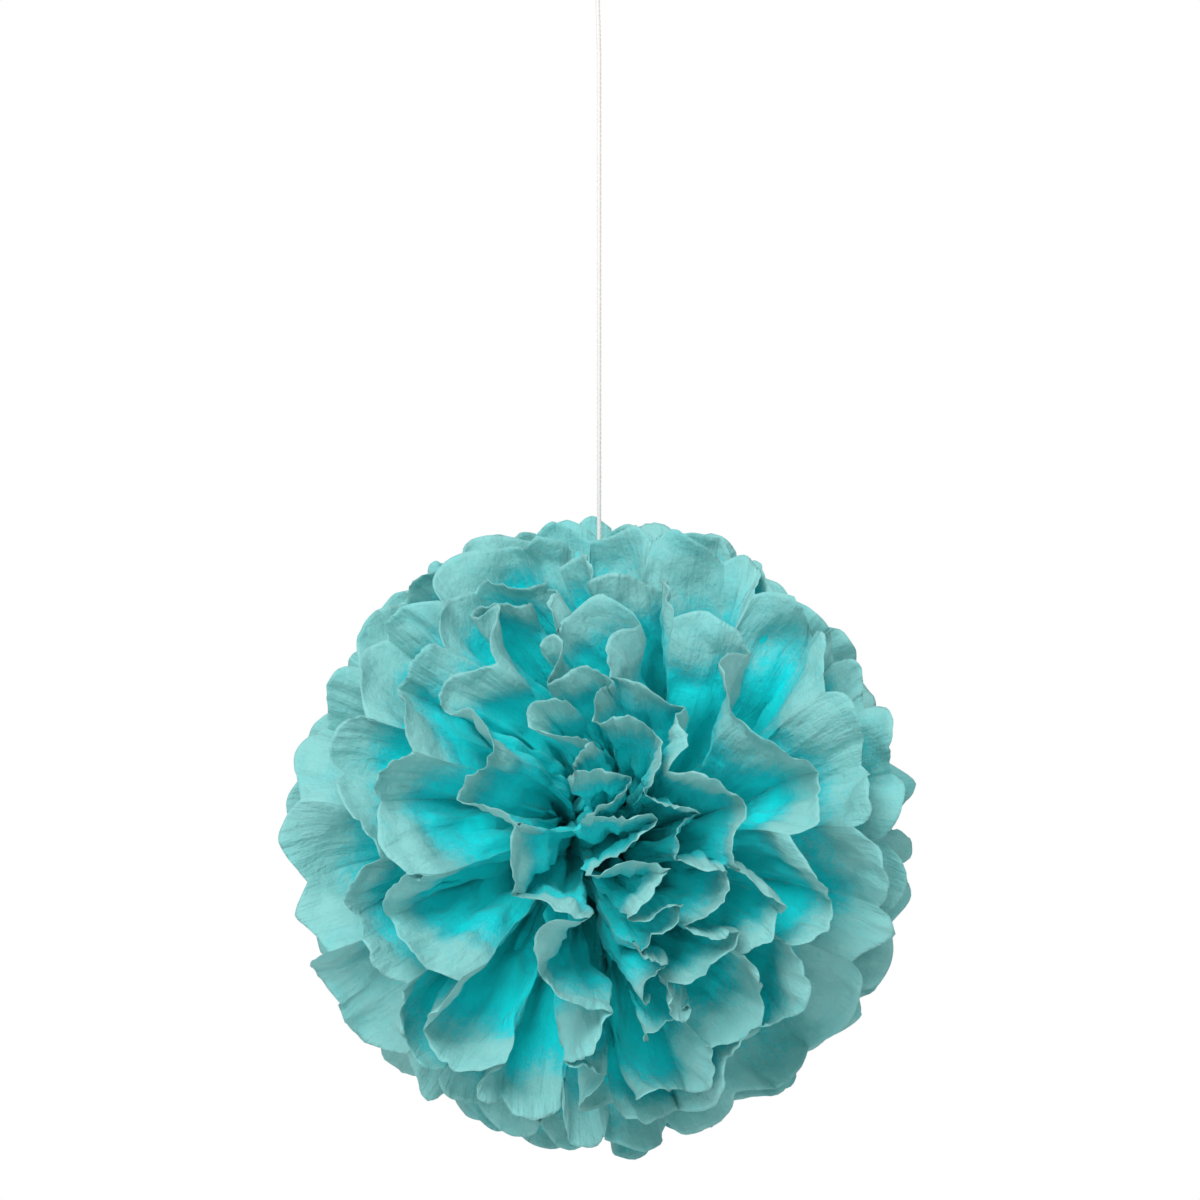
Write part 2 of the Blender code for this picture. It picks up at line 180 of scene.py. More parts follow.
def bent(points, ball_radius):
    """The whole ball's slow bend. It keeps each point's distance from the waist, and it
    leaves the cord's line alone."""
    reach = np.linalg.norm(points, axis=-1)
    x, y, z = points[..., 0], points[..., 1], points[..., 2]
    calm = 1 - np.exp(-(x ** 2 + y ** 2) / CORD_CALM ** 2)
    far = np.maximum(reach, FAN_START)
    twist = HEART_TWIST * y / far * smooth((reach - FAN_START) / ball_radius)
    x, z = x * np.cos(twist) + z * np.sin(twist), z * np.cos(twist) - x * np.sin(twist)
    wave = 2 * math.pi / BEND_WAVE
    from_heart = np.sqrt(x ** 2 + (y + reach) ** 2 + z ** 2)
    heart = from_heart / (HEART_SPREAD * far / ball_radius)
    sway = MEANDER * np.cos(2 * math.pi * z / MEANDER_WAVE)
    sway = sway * np.copysign(1 - np.exp(-(y / MEANDER_DEPTH) ** 2), -y)
    push = np.stack((
        BEND * np.sin(wave * (1.1 * y + 0.7 * z) + 0.6)
        + HEART_SHIFT * np.exp(-0.5 * heart * heart) + sway,
        BEND * np.sin(wave * (0.9 * x + 1.0 * z) + 1.9),
        BEND * np.sin(wave * (1.0 * x - 0.8 * y) + 4.4),
    ), axis=-1)
    push *= (calm * smooth((reach - FAN_START) / (0.8 * ball_radius)))[..., None]
    moved = np.stack((x, y, z), axis=-1) + push
    length = np.maximum(np.linalg.norm(moved, axis=-1), 1e-9)
    moved *= (reach / length)[..., None]
    return np.where((reach < FAN_START)[..., None], points, moved)


def fanned(reach):
    """How much of its full direction a rib has at this distance from the waist."""
    growth = np.log(np.maximum(reach, FAN_START) / FAN_START)
    return smooth(growth / math.log(FAN_FULL / FAN_START))


RIM_TURNS = np.linspace(-FAN_HALF_ANGLE, FAN_HALF_ANGLE, RIM_STEPS + 1)


def rim_lengths(stand, side):
    """The length of a fan's rim from its bottom to each of the even turns, on a ball of
    radius 1."""
    angles = opening(stand, RIM_TURNS, side)
    middles = opening(stand, (RIM_TURNS[1:] + RIM_TURNS[:-1]) / 2, side)
    steps = np.hypot(np.diff(angles), np.sin(middles) * np.diff(RIM_TURNS))
    return np.concatenate(([0.0], np.cumsum(steps)))


class Fan:
    """One half of a sheet: the pleats on one side of the tie."""

    def __init__(self, sheet, side, sizes):
        self.sheet = sheet
        self.side = side
        self.sizes = sizes
        before, behind = sheet, SHEET_COUNT - 1 - sheet
        bias = HEART_BIAS * side * (math.exp(-before) - math.exp(-behind))
        self.stand = sheet + bias
        self.lengths = rim_lengths(self.stand, side)
        self.chord = self.lengths[-1] / PLEAT_COUNT
        self.slips = {}
        for other in (sheet - 1, sheet + 1):
            if 0 <= other < SHEET_COUNT:
                lengths = rim_lengths(other, side)
                places = lengths / lengths[-1] - self.lengths / self.lengths[-1]
                self.slips[other] = np.abs(places) * PLEAT_COUNT
        chance = random.Random(SEED * 1000 + sheet * 10 + side)
        ribs = PLEAT_COUNT + 1
        self.width = min(1.0, (self.chord / WIDE_CHORD) ** 2)
        turns = [
            self.width * (chance.uniform(-TURN_SPREAD, TURN_SPREAD) + self.bunched(rib))
            for rib in range(ribs)]
        turns[0] = turns[-1] = 0.0
        gaps = [1 + after - before for before, after in zip(turns, turns[1:])]
        rooms = [min(1.0, before, after) for before, after in
                 zip(gaps[:1] + gaps, gaps + gaps[-1:])]
        self.turns = np.array(turns)
        self.leans = np.array([chance.uniform(-LEAN_SPREAD, LEAN_SPREAD) * room
                               * math.sqrt(self.width) for room in rooms])
        self.tips = np.array([chance.uniform(-TIP_SPREAD, 0) for _ in range(ribs)])
        self.depth = SHEET_PITCH * (sheet - (SHEET_COUNT - 1) / 2)
        across = (abs(self.depth) + sizes.paper) / WAIST_HALF_DEPTH
        self.half_height = WAIST_HALF_HEIGHT * math.sqrt(1 - across * across)
        self.petals(random.Random(SEED * 7000 + sheet * 10 + side))

    def petals(self, chance):
        """What makes each petal its own: its bow, its curl, its small creases."""
        count = range(PLEAT_COUNT)
        self.bows = np.array([chance.gauss(0.0, 1.0) for _ in count])
        self.tilts = np.array([chance.uniform(-1.0, 1.0) for _ in range(PLEAT_COUNT + 1)])
        self.curls = np.array([chance.gauss(0.25, 1.0) for _ in count])
        self.skews = np.array([chance.uniform(-0.5, 0.5) for _ in count])
        self.powers = np.array([chance.choice(SCALLOP_POWERS) for _ in count])
        self.creases = [self.crease_knots(chance) for _ in count]

    @staticmethod
    def crease_knots(chance):
        """Where a panel's own small creases are, and how far each stands out."""
        first = chance.uniform(0.18, 0.32)
        second = chance.uniform(0.42, 0.58)
        third = chance.uniform(0.68, 0.82)
        sign = chance.choice((-1, 1))
        heights = [sign * chance.uniform(0.6, 1.3), -sign * chance.uniform(0.6, 1.3),
                   sign * chance.uniform(0.6, 1.3)]
        return [0.0, first, second, third, 1.0], [0.0, *heights, 0.0]

    def bunched(self, rib):
        """How far this rib has slid along the fan."""
        along = 2 * math.pi * rib / PLEAT_COUNT
        slow = 0.5 * self.sheet + 1.7 * self.side
        room = min(1 - self.chord * self.sizes.ball_radius / self.sizes.pleat_width,
                   BUNCHED_SHARE)
        return BUNCHING * room * PLEAT_COUNT / 6 * (
            math.sin(along + slow) - math.sin(slow)) * (1 - math.cos(along)) / 2

    def between(self, values, rib):
        """A value between two ribs."""
        return np.interp(rib, np.arange(len(values)), values)

    def turn(self, place):
        """The turn at which a rib stands: the pleats are even along the rim."""
        return np.interp(place * self.chord, self.lengths, RIM_TURNS)

    def panel(self, rib):
        """Which panel a place is on, and how far across it."""
        low = np.clip(rib.astype(int), 0, PLEAT_COUNT - 1)
        return low, rib - low

    def fold_height(self, rib, reach, turn, slant):
        """Half the height from fold to fold, as an angle seen from the waist: each panel
        keeps its width, as far as the next sheets leave room."""
        pleat = self.sizes.pleat_width
        chord = self.chord * reach
        height = np.sqrt(np.maximum(pleat ** 2 - chord ** 2, (FLATTEST_SHARE * pleat) ** 2))
        ramp = smooth((reach - FOLD_START) / (FOLD_FULL - FOLD_START))
        loose_end = smooth(END_SHARE + np.minimum(rib, PLEAT_COUNT - rib))
        free = 0.5 * height / np.maximum(reach, FAN_START) * ramp * loose_end
        here = opening(self.stand, turn, self.side)
        for other, slips in self.slips.items():
            gap = np.abs(opening(other, turn, self.side) - here) * slant
            slip = np.interp(turn, RIM_TURNS, slips) + PHASE_SHARE
            room = ROOM_SHARE * gap / (2 * np.minimum(slip, 1))
            free = free * room / (free ** 4 + room ** 4) ** 0.25
        return free

    def crease(self, rib, reach):
        """The small creases that gather the paper towards the tie, in metres."""
        low, across = self.panel(rib)
        heights = np.zeros_like(rib)
        for index, (knots, values) in enumerate(self.creases):
            here = low == index
            heights[here] = np.interp(across[here], knots, values)
        radius = self.sizes.ball_radius
        share = reach / radius
        swell = smooth(share / 0.18) * (1 - smooth((share - 0.30) / 0.62))
        tight = 1 + 0.4 * (1 - min(1.0, self.chord * radius / self.sizes.pleat_width))
        return self.sizes.crease_height * tight * swell * heights

    def bow(self, rib, reach):
        """Each petal's own round section, its curl and the lean of its tip, in metres."""
        sizes = self.sizes
        low, across = self.panel(rib)
        share = reach / sizes.ball_radius
        section = 4 * across * (1 - across)
        wide = min(1.0, self.chord * sizes.ball_radius / sizes.pleat_width + 0.15)
        bow = sizes.petal_bow * self.bows[low] * section * smooth((share - 0.35) / 0.6)
        tip = np.clip((share - 0.80) / 0.20, 0, 1) ** 2
        curl = sizes.tip_curl * self.curls[low] * section * tip
        tilt = sizes.tip_tilt * self.between(self.tilts, rib) * smooth((share - 0.55) / 0.5)
        return wide * (bow + curl + tilt)

    def drift(self, rib, reach):
        """A slow wander of the whole fan from its even opening, as a distance."""
        around = 2 * math.pi * rib / PLEAT_COUNT
        share = reach / self.sizes.ball_radius
        start = 0.5 * self.sheet + 1.1 * self.side
        wave = (np.sin(2 * around + start + 3 * share)
                + 0.7 * np.sin(3 * around + 2.3 * start - 5 * share)
                + 0.5 * np.sin(5 * around + 1.7 * start + 6 * share))
        return self.sizes.petal_drift * wave * smooth((share - 0.3) / 0.6)

    def rim_reach(self, rib):
        """How far the cut edge is from the waist: a round scallop on each pleat."""
        low, across = self.panel(rib)
        off = np.abs(2 * across - 1 - self.skews[low] * 4 * across * (1 - across))
        notch = self.sizes.ball_radius - SCALLOP_DEPTH + self.between(self.tips, rib)
        return notch + SCALLOP_DEPTH * (1 - off ** self.powers[low])

    def ideal(self, rib, reach):
        """A point on the paper before its small forms: the open fan and its main folds."""
        radius = self.sizes.ball_radius
        loose = smooth((reach - LOOSE_START) / (radius - LOOSE_START))
        turn = self.turn(rib + loose * self.between(self.turns, rib))
        low, across = self.panel(rib)
        fold = np.where(low % 2, 1, -1) * (1 - 2 * across)
        stand = self.stand + loose * self.between(self.leans, rib)
        angle = opening(stand, turn, self.side)
        slope = (opening(stand, turn + TURN_STEP, self.side)
                 - opening(stand, turn - TURN_STEP, self.side)) / (2 * TURN_STEP)
        cos_a, sin_a = np.cos(angle), np.sin(angle)
        cos_t, sin_t = np.cos(turn), np.sin(turn)
        slant = sin_a / np.hypot(sin_a, slope)
        lift = self.side * fold * self.fold_height(rib, reach, turn, slant)
        lift = lift + self.drift(rib, reach) / np.maximum(reach, FAN_START)
        outward = np.stack((cos_t * sin_a, -cos_a, sin_t * sin_a), axis=-1)
        polar = np.stack((cos_t * cos_a, sin_a, sin_t * cos_a), axis=-1)
        sideways = np.stack((-sin_t, np.zeros_like(turn), cos_t), axis=-1)
        square = sin_a[..., None] * polar - slope[..., None] * sideways
        square /= np.linalg.norm(square, axis=-1, keepdims=True)
        out = outward + lift[..., None] * square
        out /= np.linalg.norm(out, axis=-1, keepdims=True)
        share = fanned(reach)[..., None]
        way = (1 - share) * np.array((1.0, 0.0, 0.0)) + share * out
        way /= np.linalg.norm(way, axis=-1, keepdims=True)
        place = way * reach[..., None]
        place[..., 0] = self.side * (place[..., 0] + share[..., 0] * SLOT_HALF)
        height = self.half_height * (2 * rib / PLEAT_COUNT - 1)
        nought = np.zeros_like(rib)
        stack = np.stack((nought, np.full_like(rib, self.depth), height), axis=-1)
        near = stack + np.stack((self.side * reach, nought, nought), axis=-1)
        far = bent(place, radius) + (1 - share) * stack
        return np.where((reach <= FAN_START)[..., None], near, far)

    def grid(self, columns, rows):
        """Points of the fan: one row for each distance from the waist."""
        rib = np.linspace(0, PLEAT_COUNT, columns)
        share = np.linspace(0, 1, rows) ** ROW_CROWDING
        ribs, shares = np.meshgrid(rib, share)
        reach = shares * self.rim_reach(rib)[None, :]
        points = self.ideal(ribs, reach)
        along = np.gradient(points, axis=0)
        across = np.gradient(points, axis=1)
        square = np.cross(along, across)
        square /= np.maximum(np.linalg.norm(square, axis=-1, keepdims=True), 1e-12)
        square = self.side * soften(square)
        small = self.crease(ribs, reach) + self.bow(ribs, reach)
        points = points + square * small[..., None]
        points[..., 2] += -self.sizes.ball_drop
        return points, ribs, reach


def soften(square):
    """Evens out the directions across the folds, so that neighbouring panels agree."""
    for _ in range(EVENING_PASSES):
        padded = np.pad(square, ((0, 0), (1, 1), (0, 0)), mode="edge")
        square = (padded[:, :-2] + 2 * square + padded[:, 2:]) / 4
    return square / np.maximum(np.linalg.norm(square, axis=-1, keepdims=True), 1e-12)


class PaperSettings(bpy.types.PropertyGroup):
    """The sizes and colours of the tissue."""
    ball_radius: FloatProperty(
        name="Ball radius", description="From the tie to the longest petal's tip",
        default=0.203, unit="LENGTH")
    ball_drop: FloatProperty(
        name="Ball drop", description="From the hook down to the tie", default=0.575,
        unit="LENGTH")
    pleat_width: FloatProperty(
        name="Pleat width", description="Width of one pleat of the folded strip",
        default=0.048, unit="LENGTH")
    paper: FloatProperty(
        name="Paper", description="Thickness that each sheet is modelled with",
        default=0.00018, unit="LENGTH")
    crease_height: FloatProperty(
        name="Small creases", description="How far the gathers near the tie stand out",
        default=0.0062, unit="LENGTH")
    petal_bow: FloatProperty(
        name="Petal bow", description="How round a petal's section is", default=0.0040,
        unit="LENGTH")
    tip_curl: FloatProperty(
        name="Tip curl", description="How far a petal's tip curls over", default=0.011,
        unit="LENGTH")
    tip_tilt: FloatProperty(
        name="Tip tilt", description="How far the outer end of a fold leans over",
        default=0.007, unit="LENGTH")
    petal_drift: FloatProperty(
        name="Petal drift", description="How far a fan wanders from its even opening",
        default=0.0035, unit="LENGTH")
    crumple: FloatProperty(
        name="Crumple", description="Height of the paper's small dents", default=0.0095,
        unit="LENGTH")
    crumple_scale: FloatProperty(
        name="Crumple scale", description="Dents per metre", default=25.0)
    cells: IntProperty(
        name="Cells", description="Mesh cells across one pleat", default=16, min=4)
    rows: IntProperty(
        name="Rows", description="Mesh rows from the tie to the rim", default=54, min=12)
    # Painted light and shade: the tissue's colour is chosen by how open the air in front of
    # the paper is. The tip colour stands for the lit paper. The middle and deep colours
    # stand for painted shade, with light bounced between the sheets in the folds. The
    # hollow colour is painted light that offsets the shade in the deepest gaps.
    tip_colour: FloatVectorProperty(
        name="Tip colour", description="The tissue in the open", subtype="COLOR", size=3,
        default=(0.330, 0.745, 0.730), min=0, max=1)
    middle_colour: FloatVectorProperty(
        name="Middle colour", description="The tissue where it starts to be shaded",
        subtype="COLOR", size=3, default=(0.125, 0.770, 0.800), min=0, max=1)
    fold_shade_colour: FloatVectorProperty(
        name="Deep colour", description="The tissue in the folds", subtype="COLOR", size=3,
        default=(0.004, 0.790, 0.855), min=0, max=1)
    hollow_light_colour: FloatVectorProperty(
        name="Hollow colour", description="The tissue in the deepest gaps",
        subtype="COLOR", size=3, default=(0.001, 0.970, 0.995), min=0, max=1)
    seen_through: FloatProperty(
        name="Seen through", description="Share of the light that passes the paper",
        default=0.15, min=0, max=1, subtype="FACTOR")


class CordSettings(bpy.types.PropertyGroup):
    """The sizes and colour of the hanging cord."""
    radius: FloatProperty(
        name="Radius", description="Half of the cord's thickness", default=0.0013,
        unit="LENGTH")
    strand_pitch: FloatProperty(
        name="Strand pitch", description="Length in which a strand goes once round",
        default=0.009, unit="LENGTH")
    strand_depth: FloatProperty(
        name="Strand depth", description="Depth of the groove between two strands",
        default=0.00028, unit="LENGTH")
    loop_length: FloatProperty(
        name="Loop length", description="From the hook to the loop's knot", default=0.036,
        unit="LENGTH")
    loop_width: FloatProperty(
        name="Loop width", description="Widest opening of the loop", default=0.015,
        unit="LENGTH")
    knot_radius: FloatProperty(
        name="Knot radius", description="Half of the knot's thickness", default=0.0033,
        unit="LENGTH")
    tag_length: FloatProperty(
        name="Tag length", description="The short end left at the knot", default=0.010,
        unit="LENGTH")
    colour: FloatVectorProperty(
        name="Colour", description="The cotton", subtype="COLOR", size=3,
        default=(0.90, 0.865, 0.85), min=0, max=1)


class StageSettings(bpy.types.PropertyGroup):
    """The camera, the floor and the light."""
    camera_side: FloatProperty(
        name="Camera side", description="How far the camera is to the cord's right",
        default=0.0006, unit="LENGTH")
    camera_height: FloatProperty(
        name="Camera height", description="Height of the level camera", default=-0.428,
        unit="LENGTH")
    camera_distance: FloatProperty(
        name="Camera distance", description="From the camera to the cord", default=3.0,
        unit="LENGTH")
    framed_width: FloatProperty(
        name="Framed width", description="Width of the view at the cord", default=0.75,
        unit="LENGTH")
    floor_level: FloatProperty(
        name="Floor level", description="Height of the floor", default=-1.25,
        unit="LENGTH")
    sky: FloatProperty(
        name="Sky", description="Strength of the even light from all round", default=0.50)
    lamp: FloatProperty(
        name="Lamp", description="Power of the large lamp above the camera", default=60.0,
        unit="POWER")


class Wire:
    """A shader socket that can be used in sums like a number."""

    def __init__(self, tree, socket):
        self.tree = tree
        self.socket = socket

    def maths(self, operation, *terms):
        """A sum of this kind. Each term is a socket or a plain number."""
        node = self.tree.nodes.new("ShaderNodeMath")
        node.operation = operation
        for socket, term in zip(node.inputs, terms):
            if isinstance(term, Wire):
                self.tree.links.new(term.socket, socket)
            else:
                socket.default_value = term
        return Wire(self.tree, node.outputs[0])

    def __add__(self, other):
        return self.maths("ADD", self, other)

    __radd__ = __add__

    def __sub__(self, other):
        return self.maths("SUBTRACT", self, other)

    def __rsub__(self, other):
        return self.maths("SUBTRACT", other, self)

    def __mul__(self, other):
        return self.maths("MULTIPLY", self, other)

    __rmul__ = __mul__

    def __truediv__(self, other):
        return self.maths("DIVIDE", self, other)

    def size(self):
        return self.maths("ABSOLUTE", self)

    def part(self):
        return self.maths("FRACT", self)

    def most(self, other):
        return self.maths("MAXIMUM", self, other)

    def cosine(self):
        return self.maths("COSINE", self)


class Nodes:
    """A node tree under construction."""

    def node(self, kind, settings=None, sockets=None, out=0):
        """A node of this kind. Settings are set first, then the values or links."""
        made = self.tree.nodes.new(kind)
        for name, value in (settings or {}).items():
            setattr(made, name, value)
        for name, value in (sockets or {}).items():
            self.join(made.inputs[name], value)
        return Wire(self.tree, made.outputs[out])

    def join(self, socket, value):
        if isinstance(value, Wire):
            self.tree.links.new(value.socket, socket)
        else:
            socket.default_value = value


class Finish(Nodes):
    """A material, or the world's light, under construction."""

    def __init__(self, name, world=False):
        self.kind = "World" if world else "Material"
        self.made = (bpy.data.worlds if world else bpy.data.materials).new(name)
        self.made.use_nodes = True
        self.tree = self.made.node_tree
        self.tree.nodes.clear()

    def step(self, value, low, high):
        """An even step from 0 to 1 as the value goes from low to high."""
        return self.node(
            "ShaderNodeMapRange", {"interpolation_type": "SMOOTHSTEP"},
            {"Value": value, "From Min": low, "From Max": high})

    def mixed(self, factor, first, second):
        """A mix of two colours."""
        made = self.tree.nodes.new("ShaderNodeMix")
        made.data_type = "RGBA"
        self.join(made.inputs[0], factor)
        self.join(made.inputs[6], first)
        self.join(made.inputs[7], second)
        return Wire(self.tree, made.outputs[2])

    def number(self, name):
        """A number kept on the mesh."""
        return self.node("ShaderNodeAttribute", {"attribute_name": name}, out="Fac")

    def place(self):
        return self.node("ShaderNodeTexCoord", out="Object")

    def noise(self, vector, scale, detail=3.0, roughness=0.55, stretch=None):
        if stretch:
            vector = self.node("ShaderNodeMapping", {},
                               {"Vector": vector, "Scale": stretch})
        return self.node("ShaderNodeTexNoise", {}, {
            "Vector": vector, "Scale": scale, "Detail": detail, "Roughness": roughness})

    def looked_at(self):
        """1 for what the camera, reflections and clear things see, 0 for the light."""
        path = self.tree.nodes.new("ShaderNodeLightPath")
        seen, shine, passed = (Wire(self.tree, path.outputs[name]) for name in (
            "Is Camera Ray", "Is Glossy Ray", "Is Transmission Ray"))
        return seen.most(shine.most(passed))

    def done(self, shader):
        out = self.tree.nodes.new("ShaderNodeOutput" + self.kind)
        self.join(out.inputs["Surface"], shader)
        return self.made


def opaque(colour):
    return (*colour, 1.0)


def tissue_finish(paper):
    """Dyed tissue, with light and shade painted into its colour: paler at the open tips and
    near the cut edge as painted light, more saturated towards the folds as painted shade
    with light bounced between the sheets, and brighter in the deepest gaps as painted light
    against their shade. It has the fibres' mottle, and painted highlights as thin pale cut
    edges and lighter lines along the creases."""
    look = Finish("tissue")
    place = look.place()
    openness = look.number("openness")
    below = look.number("below_rim")
    across = look.number("pleat").part()
    cloud = look.noise(place, 22.0, 4.0)
    mottle = look.noise(place, 160.0, 6.0, 0.75)
    speckle = look.noise(place, 620.0, 3.0, 0.8)
    fibre = look.noise(place, 340.0, 4.0, 0.75, stretch=(1.0, 1.0, 0.35))
    # Painted light: the paper is paler within a few centimetres of its cut edge, as on lit
    # tips.
    near_rim = 1 - look.step(below, 0.002, 0.060)
    # A painted shade index: higher where the air in front of the paper is shut in and away
    # from the rim, with random cloud and mottle.
    depth = 1.05 - openness - near_rim * 0.22 + (cloud - 0.5) * 0.34 + (mottle - 0.5) * 0.36
    grain = (speckle - 0.5) * 0.34 + (fibre - 0.5) * 0.30
    patch = look.step(cloud * 0.6 + mottle * 0.4, 0.44, 0.64) * 0.30
    colour = look.mixed(patch, opaque(paper.tip_colour), opaque(paper.middle_colour))
    # Painted shade with bounced light: the colour turns to the more saturated middle and
    # deep colours as the shade index rises.
    colour = look.mixed(look.step(depth + grain, 0.28, 0.54), colour,
                        opaque(paper.middle_colour))
    colour = look.mixed(look.step(depth + grain, 0.44, 0.66), colour,
                        opaque(paper.fold_shade_colour))
    # Painted light: the bright hollow colour in the deepest gaps offsets their shade.
    colour = look.mixed(look.step(depth, 0.50, 0.78), colour, opaque(paper.hollow_light_colour))
    # Painted highlights: lighter lines along the creases, shown in patches of the mottle.
    from_crease = 0.5 - (across - 0.5).size()
    highlight_patches = look.step(mottle, 0.42, 0.62)
    line = (1 - look.step(from_crease * paper.pleat_width, 0.0002, 0.0011)) * highlight_patches * 0.45
    # Painted highlight: a pale line along the thin cut edge.
    rim = 1 - look.step(below, 0.0002, 0.0009)
    # The pale colour of the painted highlights on the creases and the cut edge.
    pale = look.mixed(0.5, opaque(paper.tip_colour), (0.42, 0.73, 0.71, 1.0))
    colour = look.mixed(line + rim * 0.12, colour, pale)
    back = look.node("ShaderNodeSeparateXYZ", {}, {"Vector": place}, out="Y")
    strip = look.node("ShaderNodeCombineXYZ", {}, {
        "X": look.number("pleat"), "Y": below * 3.2, "Z": back * 2.0})
    gathers = look.noise(strip, 5.0, 3.0, 0.6)
    wrinkles = look.noise(place, 75.0, 4.0, 0.6)
    relief = fibre * 0.10 + mottle * 0.25 + wrinkles * 0.9 + gathers * 1.4
    bump = look.node("ShaderNodeBump", {}, {
        "Height": relief, "Strength": 1.0, "Distance": 0.0026})
    body = look.node("ShaderNodeBsdfPrincipled", {}, {
        "Base Color": colour, "Roughness": 0.82, "Specular IOR Level": 0.22,
        "Sheen Weight": 0.12, "Sheen Roughness": 0.6, "Normal": bump})
    through = look.node("ShaderNodeBsdfTranslucent", {}, {"Color": colour, "Normal": bump})
    return look.done(look.node("ShaderNodeMixShader", {}, {
        0: paper.seen_through, 1: body, 2: through}))


def cotton_finish(name, cord):
    """White cotton, a little fluffy, with painted shade in the grooves between its fibres:
    darker where the fibre bump is low.
    """
    look = Finish(name)
    place = look.place()
    fluff = look.noise(place, 900.0, 4.0, 0.7)
    slow = look.noise(place, 60.0, 2.0)
    light = opaque(cord.colour)
    # Painted shade: a darker cotton colour where the fibre bump is low, in the grooves
    # between fibres.
    groove_shade = opaque([c * 0.86 for c in cord.colour])
    colour = look.mixed(look.step(fluff * 0.8 + slow * 0.2, 0.35, 0.6), groove_shade, light)
    bump = look.node("ShaderNodeBump", {}, {
        "Height": fluff, "Strength": 0.5, "Distance": 0.0002})
    return look.done(look.node("ShaderNodeBsdfPrincipled", {}, {
        "Base Color": colour, "Roughness": 0.78, "Sheen Weight": 0.3, "Normal": bump}))


def wire_finish():
    """Green painted wire, rubbed where it was twisted."""
    look = Finish("tie_wire")
    place = look.place()
    rubbed = look.step(look.noise(place, 420.0, 5.0, 0.65), 0.58, 0.70)
    colour = look.mixed(rubbed, (0.05, 0.22, 0.13, 1.0), (0.33, 0.36, 0.32, 1.0))
    return look.done(look.node("ShaderNodeBsdfPrincipled", {}, {
        "Base Color": colour, "Roughness": 0.5 - rubbed * 0.12, "Metallic": rubbed * 0.9,
        "Coat Weight": (1 - rubbed) * 0.3}))


def studio_floor_finish():
    """A pale floor that keeps the soft shadow and fades to white away from the middle."""
    look = Finish("studio_floor")
    place = look.place()
    from_middle = look.node("ShaderNodeVectorMath", {"operation": "LENGTH"},
                            {0: place}, out="Value")
    white = look.node("ShaderNodeEmission", {}, {"Color": (1, 1, 1, 1), "Strength": 1.0})
    pale = look.node("ShaderNodeBsdfDiffuse", {}, {"Color": (0.88, 0.88, 0.88, 1.0)})
    factor = look.looked_at() * look.step(from_middle, 0.45, 1.35)
    return look.done(look.node("ShaderNodeMixShader", {}, {0: factor, 1: pale, 2: white}))


def studio_light(stage):
    """White to the camera and in reflections, and an even light for the rest."""
    look = Finish("studio", world=True)
    white, even = (
        look.node("ShaderNodeBackground", {}, {"Color": (1, 1, 1, 1), "Strength": strength})
        for strength in (1.0, stage.sky))
    return look.done(look.node("ShaderNodeMixShader", {}, {
        0: look.looked_at(), 1: even, 2: white}))


def linked(name, data):
    made = bpy.data.objects.new(name, data)
    bpy.context.scene.collection.objects.link(made)
    return made


def settings():
    return bpy.context.scene.pom_pom


def as_plain_mesh(piece):
    """Makes what the modifiers show into the piece's own mesh, and removes them."""
    seen = piece.evaluated_get(bpy.context.evaluated_depsgraph_get())
    mesh = bpy.data.meshes.new_from_object(seen)
    piece.modifiers.clear()
    if piece.type != "MESH":
        name = piece.name
        bpy.data.objects.remove(piece)
        piece = linked(name, mesh)
    else:
        piece.data = mesh
    mesh.name = piece.name
    return piece


class Shape(Nodes):
    """A tree of Geometry Nodes with named inputs."""

    def __init__(self, name, *numbers):
        self.tree = bpy.data.node_groups.new(name, "GeometryNodeTree")
        face = self.tree.interface
        face.new_socket("Geometry", in_out="INPUT", socket_type="NodeSocketGeometry")
        self.ids = {}
        for label in (*numbers, "Material"):
            kind = "NodeSocketMaterial" if label == "Material" else "NodeSocketFloat"
            made = face.new_socket(label, in_out="INPUT", socket_type=kind)
            self.ids[label] = made.identifier
        face.new_socket("Geometry", in_out="OUTPUT", socket_type="NodeSocketGeometry")
        self.start = self.tree.nodes.new("NodeGroupInput")
        self.end = self.tree.nodes.new("NodeGroupOutput")

    def input(self, label):
        return Wire(self.tree, self.start.outputs[label])

    def number(self, name):
        """A number kept on the mesh."""
        return self.node("GeometryNodeInputNamedAttribute", {"data_type": "FLOAT"},
                         {"Name": name})

    def finish(self, geometry, material):
        """Ends the tree in Realize Instances and Set Material."""
        real = self.node("GeometryNodeRealizeInstances", {}, {"Geometry": geometry})
        done = self.node("GeometryNodeSetMaterial", {},
                         {"Geometry": real, "Material": material})
        self.join(self.end.inputs[0], done)

    def kept(self, geometry, label, field, output):
        """The geometry, and the number that a field has on it at this point."""
        made = self.tree.nodes.new("GeometryNodeCaptureAttribute")
        made.capture_items.new("FLOAT", label)
        self.join(made.inputs[0], geometry)
        self.join(made.inputs[label], self.node(field, out=output))
        return (Wire(self.tree, made.outputs[name]) for name in (0, label))

    def pushed(self, geometry, height):
        """The geometry with each point moved out along its normal."""
        offset = self.node("ShaderNodeVectorMath", {"operation": "SCALE"},
                           {0: self.node("GeometryNodeInputNormal"), "Scale": height})
        return self.node("GeometryNodeSetPosition", {}, {
            "Geometry": geometry, "Offset": offset})

    def put_on(self, piece, values):
        """Adds the tree to a piece as a modifier, with values for its inputs."""
        modifier = piece.modifiers.new(self.tree.name, "NODES")
        modifier.node_group = self.tree
        for label, value in values.items():
            modifier[self.ids[label]] = value


